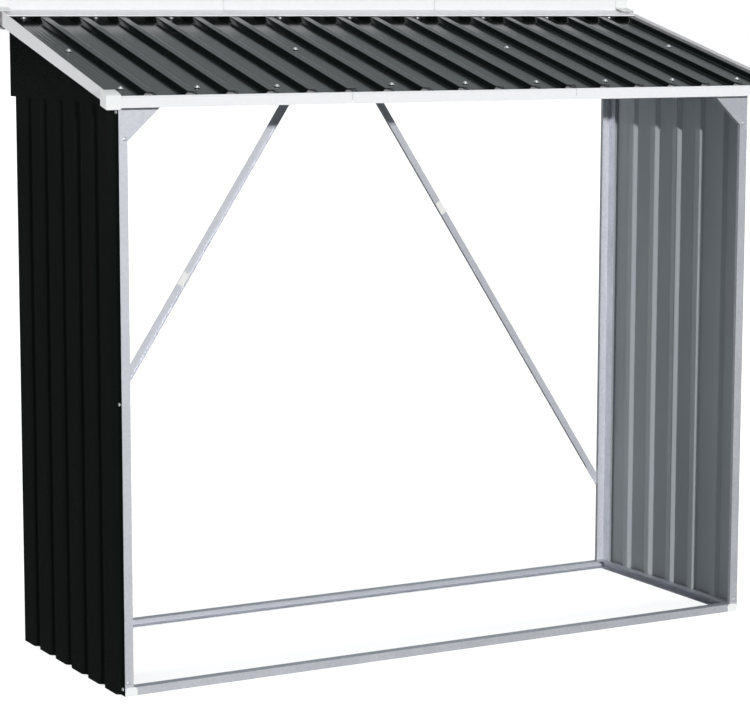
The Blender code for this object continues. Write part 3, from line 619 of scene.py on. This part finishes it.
# %% Helpers for geometry trees
def geometry_tree(name, inputs):
    """A geometry tree with named inputs; returns the tree and its input and output nodes."""
    made = bpy.data.node_groups.new(name, "GeometryNodeTree")
    made.interface.new_socket("Geometry", in_out="INPUT", socket_type="NodeSocketGeometry")
    for label, kind in inputs.items():
        made.interface.new_socket(label, in_out="INPUT", socket_type=f"NodeSocket{kind}")
    made.interface.new_socket("Geometry", in_out="OUTPUT", socket_type="NodeSocketGeometry")
    return made, add(made, "NodeGroupInput"), add(made, "NodeGroupOutput")


def grown(tree, name, values, seed_mesh=None):
    """Run a geometry tree on a mesh with named values, and keep the result as a plain object."""
    draft = bpy.data.objects.new("draft", seed_mesh or bpy.data.meshes.new("seed"))
    scene.collection.objects.link(draft)
    modifier = draft.modifiers.new("tree", "NODES")
    modifier.node_group = tree
    for item in tree.interface.items_tree:
        if item.in_out == "INPUT" and item.name in values:
            modifier[item.identifier] = values[item.name]
    return baked(draft, name)


# %% The ribbed sheet tree
JOIN_DISTANCE = 0.00005
SWAY_SCALE = 4.5
BEAD_SHARPNESS = 6.0

SHEET_INPUTS = {
    "Start": "Float", "End": "Float", "Length": "Float", "Columns": "Int", "Rows": "Int",
    "First Rib": "Float", "Ribs From": "Float", "Pitch": "Float", "Web": "Float", "Crest": "Float",
    "Height": "Float", "Lap From": "Float", "Lap Lift": "Float", "Lap Shift": "Float",
    "Thickness": "Float", "Waviness": "Float", "Bead From": "Float", "Bead Until": "Float",
    "Bead Height": "Float", "Bead Pitch": "Float", "Outer": "Material", "Inner": "Material",
}
ribbed, given, out = geometry_tree("ribbed sheet", SHEET_INPUTS)
size = given.outputs
wide = maths(ribbed, "SUBTRACT", size["End"], size["Start"])
grid = add(ribbed, "GeometryNodeMeshGrid", {
    "Size X": wide, "Size Y": size["Length"],
    "Vertices X": size["Columns"], "Vertices Y": size["Rows"]})
corner = add(ribbed, "ShaderNodeCombineXYZ", {
    0: maths(ribbed, "MULTIPLY_ADD", wide, 0.5, size["Start"]),
    1: maths(ribbed, "MULTIPLY", size["Length"], 0.5)})
laid = add(ribbed, "GeometryNodeSetPosition", {
    "Geometry": grid.outputs["Mesh"], "Offset": corner.outputs[0]})
place = add(ribbed, "GeometryNodeInputPosition").outputs[0]
along = add(ribbed, "ShaderNodeSeparateXYZ", {0: place}).outputs["X"]

# %% The rule of the ribs
started = maths(ribbed, "GREATER_THAN", along, size["Ribs From"])
lapped = maths(ribbed, "GREATER_THAN", along, size["Lap From"])
step = maths(ribbed, "SUBTRACT", along, size["First Rib"])
step = maths(ribbed, "FLOORED_MODULO", step, size["Pitch"])
climb = maths(ribbed, "DIVIDE", step, size["Web"], clamp=True)
turn = maths(ribbed, "SUBTRACT", maths(ribbed, "SUBTRACT", step, size["Web"]), size["Crest"])
turn = maths(ribbed, "SUBTRACT", turn, maths(ribbed, "MULTIPLY", size["Lap Shift"], lapped))
fall = maths(ribbed, "DIVIDE", turn, size["Web"], clamp=True)
peak = maths(ribbed, "MULTIPLY_ADD", size["Lap Lift"], lapped, size["Height"])
risen = maths(ribbed, "MULTIPLY", peak, climb)
rib = maths(ribbed, "SUBTRACT", risen, maths(ribbed, "MULTIPLY", size["Height"], fall))
rib = maths(ribbed, "MULTIPLY", rib, started)
bead = maths(ribbed, "MULTIPLY", maths(ribbed, "DIVIDE", along, size["Bead Pitch"]), 2 * math.pi)
bead = maths(ribbed, "MAXIMUM", maths(ribbed, "COSINE", bead), 0.0)
bead = maths(ribbed, "POWER", bead, BEAD_SHARPNESS)
bead = maths(ribbed, "MULTIPLY", bead, maths(ribbed, "LESS_THAN", along, size["Bead Until"]))
bead = maths(ribbed, "MULTIPLY", bead, maths(ribbed, "GREATER_THAN", along, size["Bead From"]))
sway = noise(ribbed, place, SWAY_SCALE, 1.0)
sway = maths(ribbed, "MULTIPLY", maths(ribbed, "SUBTRACT", sway, 0.5), size["Waviness"])
level = maths(ribbed, "ADD", rib, maths(ribbed, "MULTIPLY_ADD", bead, size["Bead Height"], sway))
level = maths(ribbed, "SUBTRACT", level, size["Thickness"])
raised = add(ribbed, "ShaderNodeCombineXYZ", {2: level})
bent = add(ribbed, "GeometryNodeSetPosition", {
    "Geometry": laid.outputs[0], "Offset": raised.outputs[0]})

# %% Thickness, and a finish for each side
lift = add(ribbed, "GeometryNodeExtrudeMesh", {
    "Mesh": bent.outputs[0], "Offset Scale": size["Thickness"], "Individual": False})
back = add(ribbed, "GeometryNodeFlipFaces", {"Mesh": bent.outputs[0]})
marked = add(ribbed, "GeometryNodeStoreNamedAttribute", {
    "Geometry": back.outputs[0], "Name": "inner", "Value": 1.0}, data_type="FLOAT", domain="FACE")
both = add(ribbed, "GeometryNodeJoinGeometry")
for part in (lift.outputs["Mesh"], marked.outputs[0]):
    ribbed.links.new(part, both.inputs[0])
closed = add(ribbed, "GeometryNodeMergeByDistance", {
    "Geometry": both.outputs[0], "Distance": JOIN_DISTANCE})
smooth = add(ribbed, "GeometryNodeSetShadeSmooth", {"Geometry": closed.outputs[0]})
real = add(ribbed, "GeometryNodeRealizeInstances", {"Geometry": smooth.outputs[0]})
outer = add(ribbed, "GeometryNodeSetMaterial", {
    "Geometry": real.outputs[0], "Material": size["Outer"]})
reverse = add(ribbed, "GeometryNodeInputNamedAttribute", {"Name": "inner"}, data_type="FLOAT")
chosen = maths(ribbed, "GREATER_THAN", reverse.outputs["Attribute"], 0.5)
inner = add(ribbed, "GeometryNodeSetMaterial", {
    "Geometry": outer.outputs[0], "Selection": chosen, "Material": size["Inner"]})
wire(ribbed, out.inputs[0], inner.outputs[0])
print("tree", ribbed.name, "with", len(SHEET_INPUTS), "inputs")

# %% [markdown]
# ## Roof sheets
# Three sheets of six ribs each lie side by side on the slope. The last rib of a sheet closes
# over the first rib of the next, which is how such roofs stay dry. The sheets are grown flat and
# then laid on the slope through their mesh, so that the finished objects stay at the origin.

# %% Roof sheets
SHEET_T = 0.0006
RIB = {
    "Pitch": 0.1045, "Web": 0.008, "Crest": 0.021, "Thickness": SHEET_T, "Bead Pitch": 0.0115}
RIB_HEIGHT = 0.0115
LAP_LIFT, LAP_SHIFT, LAP_TAIL, LAP_START = 0.0009, 0.0011, 0.0065, 0.010
ROOF_RISE = 0.261
ROOF_SHEETS = 3
ROOF_RIBS_PER_SHEET = 6
ROOF_ROWS = 14
ROOF_WAVINESS = 0.0005
BEAD_HEIGHT = 0.00035
BEAD_MARGIN = 0.008
COLUMN = 0.0013
SHARP_BEND = math.radians(70)
NEVER = 9.0

slope = math.atan(ROOF_RISE)
roof_low, roof_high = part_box("roof_sheet_1")
roof_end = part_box("roof_sheet_3")[1].x
section = RIB_HEIGHT + LAP_LIFT + SHEET_T
run = roof_high.y - roof_low.y - section * math.sin(slope)
ROOF_LENGTH = run / math.cos(slope)
edge_z = roof_low.z + SHEET_T * math.cos(slope)
edge_y = roof_low.y + (section - SHEET_T) * math.sin(slope)
ROOF = Matrix.Translation((0, edge_y, edge_z)) @ Matrix.Rotation(slope, 4, "X")
first_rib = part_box("roof_sheet_2")[0].x - LAP_START - (ROOF_RIBS_PER_SHEET - 1) * RIB["Pitch"]


def ribbed_sheet(name, place, sizes):
    """Grow a sheet by the rule, lay it in place and keep its cut edges sharp."""
    columns = math.ceil((sizes["End"] - sizes["Start"]) / COLUMN) + 1
    made = grown(ribbed, name, {**RIB, "Columns": columns, "Ribs From": -NEVER, **sizes})
    made.data.transform(place)
    made.data.set_sharp_from_angle(angle=SHARP_BEND)
    return made


last_sheet = ROOF_SHEETS - 1
for k in range(ROOF_SHEETS):
    left = first_rib + (k * ROOF_RIBS_PER_SHEET - 1) * RIB["Pitch"]
    last = first_rib + ((k + 1) * ROOF_RIBS_PER_SHEET - 1) * RIB["Pitch"]
    tail = last + RIB["Web"] + RIB["Crest"] + LAP_SHIFT + LAP_TAIL
    sheet = ribbed_sheet(f"roof_sheet_{k + 1}_ribbed", ROOF, {
        "Start": roof_low.x if k == 0 else left + LAP_START,
        "End": roof_end if k == last_sheet else tail,
        "Length": ROOF_LENGTH, "Rows": ROOF_ROWS,
        "First Rib": first_rib, "Ribs From": first_rib, "Height": RIB_HEIGHT,
        "Lap From": NEVER if k == last_sheet else last,
        "Lap Lift": LAP_LIFT, "Lap Shift": LAP_SHIFT, "Waviness": ROOF_WAVINESS,
        "Bead From": -NEVER, "Bead Until": first_rib - BEAD_MARGIN if k == 0 else -NEVER,
        "Bead Height": BEAD_HEIGHT, "Outer": coat, "Inner": backing})
    hand_over(sheet, "coated_sheet", f"roof_sheet_{k + 1}")
    print(sheet.name, len(sheet.data.polygons), "faces")

# %% [markdown]
# ## Side walls
# A side wall is the same rule seen the other way round: wide flats outside and narrow folds that
# press against the posts. The rule's height is negative here. Both sides grow from the same
# numbers; only the directions of the sheet's own axes differ, chosen so that its outside always
# faces away from the shelter.

# %% Side walls
WALL_RIBS_BEFORE = -0.011
WALL_LAP_GROOVE = 3
WALL_ROWS = 20
WALL_WAVINESS = 0.0006
FIRST_FLAT = (0.030, 0.090)

for side, sign in (("left", -1), ("right", 1)):
    fore_low, fore_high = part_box(f"wall_{side}_front")
    aft_low, aft_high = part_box(f"wall_{side}_rear")
    face = fore_low.x if sign < 0 else fore_high.x
    across, upward, outward = Vector((0, 1, 0)), Vector((0, 0, sign)), Vector((sign, 0, 0))
    foot = fore_low.z if sign > 0 else fore_high.z
    turn_in = Matrix((across, upward, outward)).transposed().to_4x4()
    place = Matrix.Translation((face, fore_low.y, foot)) @ turn_in
    lap = WALL_RIBS_BEFORE + WALL_LAP_GROOVE * RIB["Pitch"]
    for which, start, end, lap_from in (
        ("front", 0.0, fore_high.y - fore_low.y, lap),
        ("rear", aft_low.y - fore_low.y, aft_high.y - fore_low.y, NEVER),
    ):
        sheet = ribbed_sheet(f"wall_{side}_{which}_ribbed", place, {
            "Start": start, "End": end, "Length": fore_high.z - fore_low.z, "Rows": WALL_ROWS,
            "First Rib": WALL_RIBS_BEFORE, "Height": -RIB_HEIGHT, "Lap From": lap_from,
            "Lap Lift": LAP_LIFT, "Lap Shift": -LAP_SHIFT, "Waviness": WALL_WAVINESS,
            "Bead From": FIRST_FLAT[0], "Bead Until": FIRST_FLAT[1],
            "Bead Height": BEAD_HEIGHT, "Outer": coat, "Inner": backing})
        hand_over(sheet, "coated_sheet", f"wall_{side}_{which}")
        print(sheet.name, len(sheet.data.polygons), "faces")

# %% [markdown]
# ## Screws
# Broad washer-head screws with a rubber ring sit in the troughs of the roof, small domed screws
# hold the frame, and blind rivets join the rear trim. Each kind is turned once as a small lathe
# shape. Geometry Nodes then set one on every marked point, aimed along the surface's normal and
# spun by a random amount from a fixed seed, because nobody drives screws all alike.

# %% Turn a screw head
SCREW_SIDES = 20
HEAD_CREASE = math.radians(48)
CROSS_ARM = 0.35


def lathe(name, profile, drive_radius, drive_depth):
    """A closed head turned from (radius, height, seal) rings, with a cross slot in its top."""
    work = bmesh.new()
    rings = []
    for radius, height, tag in profile:
        ring = []
        for i in range(SCREW_SIDES):
            a = 2 * math.pi * i / SCREW_SIDES
            ring.append(work.verts.new((radius * math.cos(a), radius * math.sin(a), height)))
        rings.append((ring, tag))
    soft = work.faces.layers.float.new("rubber")
    for (low, _), (high, tag) in zip(rings, rings[1:]):
        for i in range(SCREW_SIDES):
            j = (i + 1) % SCREW_SIDES
            work.faces.new((low[i], low[j], high[j], high[i]))[soft] = tag
    work.faces.new(list(reversed(rings[0][0])))
    hub = work.verts.new((0, 0, rings[-1][0][0].co.z))
    top = rings[-1][0]
    for i in range(SCREW_SIDES):
        work.faces.new((top[i], top[(i + 1) % SCREW_SIDES], hub))
    for vert in top + [hub]:
        a = math.atan2(vert.co.y, vert.co.x)
        arm = min(abs(math.sin(a)), abs(math.cos(a)))
        if vert.co.xy.length < drive_radius and arm < CROSS_ARM:
            vert.co.z -= drive_depth
    for face in work.faces:
        face.smooth = True
    mesh = bpy.data.meshes.new(name)
    work.to_mesh(mesh)
    work.free()
    mesh.set_sharp_from_angle(angle=HEAD_CREASE)
    return bpy.data.objects.new(name, mesh)


METAL, SEAL = 0.0, 1.0
roof_profile = [
    (0.0062, 0.0000, SEAL), (0.0067, 0.0004, SEAL), (0.0067, 0.0012, SEAL),
    (0.0071, 0.0013, METAL), (0.0072, 0.0017, METAL), (0.0052, 0.0024, METAL),
    (0.0046, 0.0026, METAL), (0.0044, 0.0044, METAL), (0.0038, 0.0052, METAL),
    (0.0022, 0.0055, METAL), (0.0012, 0.0056, METAL),
]
frame_profile = [
    (0.0046, 0.0000, METAL), (0.0047, 0.0005, METAL), (0.0044, 0.0012, METAL),
    (0.0037, 0.0019, METAL), (0.0026, 0.0024, METAL), (0.0019, 0.0025, METAL),
    (0.0009, 0.0026, METAL),
]
roof_head = lathe("roof_head", roof_profile, drive_radius=0.0020, drive_depth=0.0010)
frame_head = lathe("frame_head", frame_profile, drive_radius=0.0022, drive_depth=0.0009)
rims = [round(2000 * profile[0][0], 1) for profile in (roof_profile, frame_profile)]
print("screw heads", rims, "mm across")

# %% The screw tree
SCREW_INPUTS = {"Head": "Object", "Metal": "Material", "Seal": "Material", "Seed": "Int"}
driven, given, out = geometry_tree("screws on points", SCREW_INPUTS)
size = given.outputs
aim = add(driven, "GeometryNodeInputNamedAttribute", {"Name": "aim"}, data_type="FLOAT_VECTOR")
facing = add(
    driven, "FunctionNodeAlignRotationToVector", {"Vector": aim.outputs["Attribute"]}, axis="Z")
spin = add(
    driven, "FunctionNodeRandomValue", {"Min": 0.0, "Max": 2 * math.pi, "Seed": size["Seed"]},
    data_type="FLOAT")
spin = next(s for s in spin.outputs if s.type == "VALUE" and s.enabled)
about = add(driven, "ShaderNodeCombineXYZ", {2: spin}).outputs[0]
spun = add(driven, "FunctionNodeEulerToRotation", {0: about}).outputs[0]
turned = add(
    driven, "FunctionNodeRotateRotation", {0: facing.outputs[0], 1: spun}, rotation_space="LOCAL")
head = add(driven, "GeometryNodeObjectInfo", {"Object": size["Head"], "As Instance": True})
set_on = add(driven, "GeometryNodeInstanceOnPoints", {
    "Points": size["Geometry"], "Instance": head.outputs["Geometry"],
    "Rotation": turned.outputs[0]})
real = add(driven, "GeometryNodeRealizeInstances", {0: set_on.outputs[0]})
metal = add(driven, "GeometryNodeSetMaterial", {
    "Geometry": real.outputs[0], "Material": size["Metal"]})
ring = add(driven, "GeometryNodeInputNamedAttribute", {"Name": "rubber"}, data_type="FLOAT")
ring = maths(driven, "GREATER_THAN", ring.outputs["Attribute"], 0.5)
sealed = add(driven, "GeometryNodeSetMaterial", {
    "Geometry": metal.outputs[0], "Selection": ring, "Material": size["Seal"]})
wire(driven, out.inputs[0], sealed.outputs[0])


def screws(name, head, points, seed):
    """Set a head on each (position, direction) pair."""
    seeds = bpy.data.meshes.new("screw points")
    seeds.from_pydata([tuple(p) for p, _ in points], [], [])
    aims = seeds.attributes.new("aim", "FLOAT_VECTOR", "POINT")
    for item, (_, direction) in zip(aims.data, points):
        item.vector = direction
    values = {"Head": head, "Metal": bright, "Seal": rubber, "Seed": seed}
    return grown(driven, name, values, seeds)


print("tree", driven.name)

# %% Roof screws
FRONT_ROW = (-0.89, -0.69, -0.48, -0.17, 0.04, 0.24, 0.46, 0.675, 0.89)
MIDDLE_ROW = (-0.89, -0.30, 0.335, 0.89)
ROW_DEPTHS = (0.066, 0.385, 0.685)
TROUGH_FROM_RIB = 0.0628
LAST_TROUGH = 16
ROOF_SCREW_SEED = 3


def trough(x):
    """The middle of the flat nearest to x; beside the edges, x itself."""
    k = round((x - first_rib - TROUGH_FROM_RIB) / RIB["Pitch"])
    past_ribs = x < first_rib or (x > roof_end - RIB["Pitch"] / 2 and k > LAST_TROUGH)
    return x if past_ribs else first_rib + TROUGH_FROM_RIB + k * RIB["Pitch"]


upright = ROOF.to_3x3() @ Vector((0, 0, 1))
spots = []
for row, depth in zip((FRONT_ROW, MIDDLE_ROW, FRONT_ROW), ROW_DEPTHS):
    spots += [(ROOF @ Vector((trough(x), depth, 0.0)), upright) for x in row]
hand_over(screws("roof_screws", roof_head, spots, ROOF_SCREW_SEED), "zinc_screw")
print(len(spots), "roof screws")

# %% Frame screws
HEAD_STAND = 0.0026
RAIL_SCREW_INWARDS = 0.086
RAIL_SCREW_DROP = 0.0155
FRAME_SCREW_SEED = 5


def seat_of(node, axis, sign):
    """Where a CAD screw's head meets its plate, and the direction it faces."""
    low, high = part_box(node)
    seat = (low + high) / 2
    seat[axis] = (high if sign > 0 else low)[axis] - sign * HEAD_STAND
    direction = Vector((0, 0, 0))
    direction[axis] = sign
    return seat, direction


def rail_seat(side, sign):
    """The gusset's second screw, which holds it to the top rail."""
    seat, direction = seat_of(f"gusset_screw_{side}", 1, -1)
    seat.x -= sign * RAIL_SCREW_INWARDS
    seat.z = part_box(f"gusset_{side}")[1].z - RAIL_SCREW_DROP
    return seat, direction


screw_nodes = {}
for side, sign in (("left", -1), ("right", 1)):
    screw_nodes[f"gusset_screw_{side}"] = (1, -1)
    screw_nodes[f"foot_screw_{side}"] = (1, -1)
    for place in ("foot", "head"):
        screw_nodes[f"brace_bolt_{side}_{place}"] = (1, -1)
    for place in ("low", "mid", "high"):
        screw_nodes[f"wall_screw_{side}_{place}"] = (0, sign)
spots = [seat_of(node, axis, sign) for node, (axis, sign) in screw_nodes.items()]
spots += [rail_seat("left", -1), rail_seat("right", 1)]
piece = screws("frame_screws", frame_head, spots, FRAME_SCREW_SEED)
hand_over(piece, "zinc_screw", *screw_nodes)
print(len(spots), "frame screws")

# %% Rivets at the joints of the rear trim
RIVET_SIDE = 0.006
RIVET_LIFT = 0.010
RIVET_BACK = 0.010
UPSTAND_THICKNESS = 0.0064
FLANGE_GAP = 0.0003
FLANGE_HEIGHT = RIB_HEIGHT + LAP_LIFT + 2 * SHEET_T + FLANGE_GAP
RIVET_SEED = 7

rivet_profile = [
    (0.0022, 0.0000, METAL), (0.0023, 0.0003, METAL), (0.0021, 0.0008, METAL),
    (0.0015, 0.0012, METAL), (0.0008, 0.0014, METAL), (0.0005, 0.0010, METAL),
]
rivet_head = lathe("rivet_head", rivet_profile, drive_radius=0.0, drive_depth=0.0)
upstand_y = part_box("rear_trim_middle")[1].y - UPSTAND_THICKNESS
spots = []
for side, sign in (("left", -1), ("right", 1)):
    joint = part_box("rear_trim_middle")[0 if sign < 0 else 1].x
    on_sheet = ROOF.inverted() @ Vector((joint, upstand_y, edge_z))
    beside = joint - sign * RIVET_SIDE
    up_slope = on_sheet.y / math.cos(slope) - RIVET_BACK
    on_flange = ROOF @ Vector((beside, up_slope, FLANGE_HEIGHT))
    spots.append((on_flange, upright))
    spots.append((Vector((beside, upstand_y, on_flange.z + RIVET_LIFT)), Vector((0, -1, 0))))
hand_over(screws("trim_rivets", rivet_head, spots, RIVET_SEED), "zinc_screw")
print(len(spots), "rivets")
